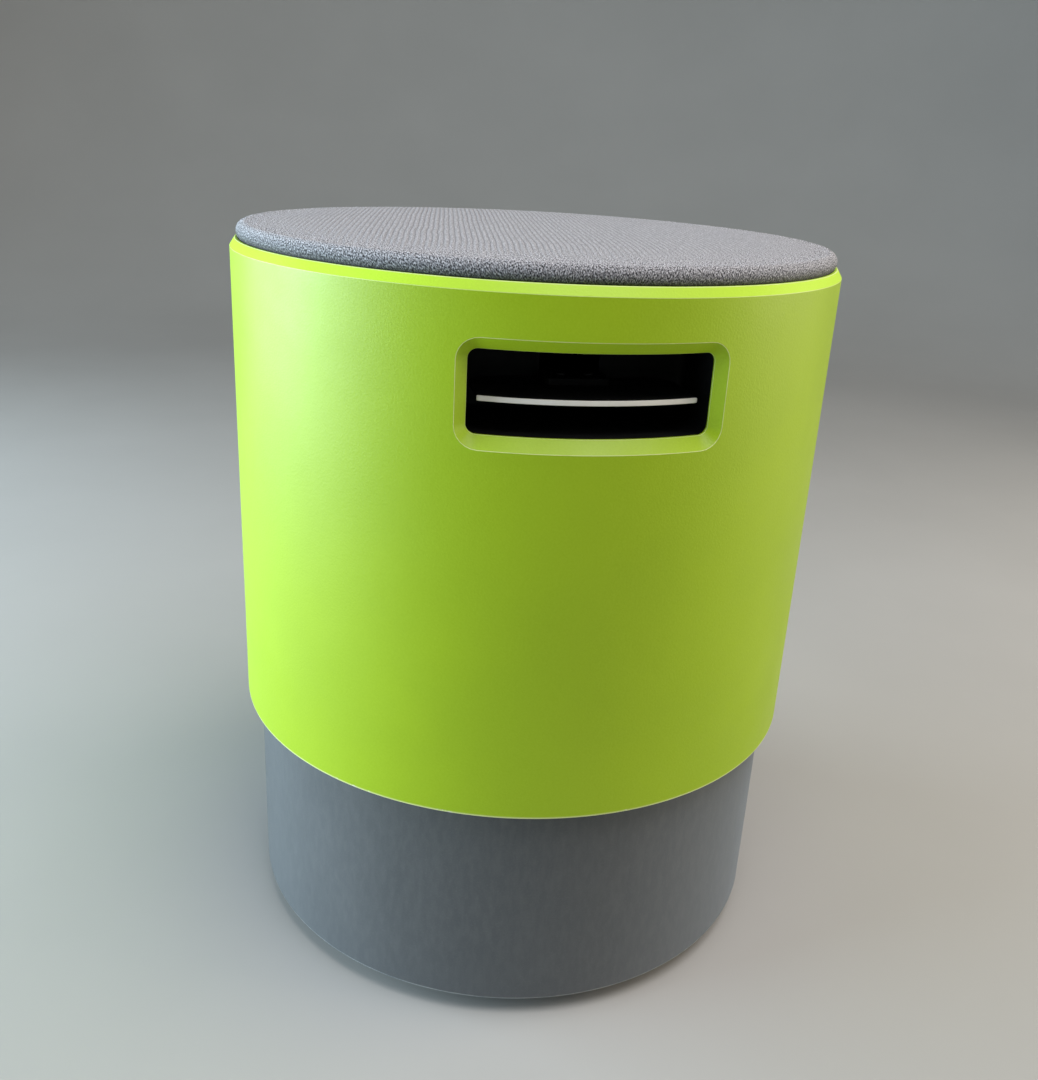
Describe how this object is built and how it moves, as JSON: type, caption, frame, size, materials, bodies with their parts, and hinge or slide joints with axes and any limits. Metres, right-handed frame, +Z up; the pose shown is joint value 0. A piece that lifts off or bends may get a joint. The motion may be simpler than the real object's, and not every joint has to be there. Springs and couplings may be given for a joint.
{
  "type": "height-adjustable rocking stool",
  "caption": "Drum-shaped stool: a round padded seat shell on a gas lift slides over a weighted base drum with a domed foot; a paddle in the side opening releases the height.",
  "frame": {"origin": "centre of the foot's flat middle, on the floor, on the stool's upright axis", "axes": "+Z up along the gas lift; the lever opening faces -Y; +X is to the right of a person facing the opening"},
  "size_m": [0.4, 0.4, 0.493],
  "materials": {
    "foot_rubber": "matte",
    "base_grey": "matte",
    "plate_steel": "satin",
    "zinc_steel": "satin",
    "black_steel": "satin",
    "nylon": "satin",
    "bearing_steel": "polished",
    "chrome_steel": "polished",
    "alloy": "satin",
    "shell_green": "satin",
    "liner_black": "satin",
    "plywood": "matte",
    "pad_foam": "matte",
    "cover_knit": "matte",
    "paddle_black": "satin",
    "edge_satin": "satin"
  },
  "bodies": {
    "base": {"rocker_foot": "foot_rubber", "base_shell": "base_grey", "ballast_plate": "plate_steel", "ballast_screws": "zinc_steel", "column_plate": "black_steel", "column_socket": "black_steel", "outer_tube": "black_steel", "guide_bush": "nylon", "lower_thrust_washer": "bearing_steel", "base_bolts": "zinc_steel", "base_washers": "zinc_steel", "base_nuts": "zinc_steel"},
    "bearing_cage": {"ball_cage": "nylon", "bearing_balls": "bearing_steel"},
    "rod": {"piston_rod": "chrome_steel", "upper_thrust_washer": "bearing_steel", "rubber_bumper": "foot_rubber", "rod_washer": "zinc_steel", "rod_clip": "zinc_steel", "piston_head": "alloy", "piston_seal": "foot_rubber"},
    "seat": {"pressure_tube": "chrome_steel", "end_gland": "alloy", "rod_seal": "foot_rubber", "valve_body": "alloy", "hub_cone": "black_steel", "mech_channel": "black_steel", "mech_plate": "black_steel", "pivot_pin": "zinc_steel", "pivot_clips": "zinc_steel", "plate_bolts": "zinc_steel", "tee_nuts": "zinc_steel", "outer_shell": "shell_green", "handle_pocket": "liner_black", "pocket_screws": "zinc_steel", "seat_board": "plywood", "shell_screws": "zinc_steel", "seat_foam": "pad_foam", "seat_cover": "cover_knit", "hem_ring": "zinc_steel"},
    "lever": {"lever_paddle": "paddle_black", "paddle_edge": "edge_satin", "lever_arm": "black_steel", "pivot_bushes": "nylon", "paddle_rivets": "black_steel"},
    "button": {"release_pin": "zinc_steel"}
  },
  "joints": [
    {"name": "seat_swivel", "type": "hinge", "parent": "base", "child": "rod", "pos_m": [0, 0, 0.0335], "axis": [0, 0, 1], "continuous": true},
    {"name": "cage_spin", "type": "hinge", "parent": "base", "child": "bearing_cage", "pos_m": [0, 0, 0.0335], "axis": [0, 0, 1], "continuous": true},
    {"name": "seat_height", "type": "slide", "parent": "rod", "child": "seat", "axis": [0, 0, 1], "range_m": [-0.044, 0.083]},
    {"name": "lever_lift", "type": "hinge", "parent": "seat", "child": "lever", "pos_m": [0, -0.03, 0.424], "axis": [-1, 0, 0], "range_deg": [0, 6], "stiffness_Nm_per_rad": 4, "springref_deg": -14.32},
    {"name": "button_press", "type": "slide", "parent": "seat", "child": "button", "axis": [0, 0, -1], "range_m": [0, 0.0035]}
  ],
  "couplings": [
    {"joint": "cage_spin", "follows": "seat_swivel", "ratio": 0.5},
    {"joint": "button_press", "follows": "lever_lift", "m_per_rad": 0.03}
  ]
}
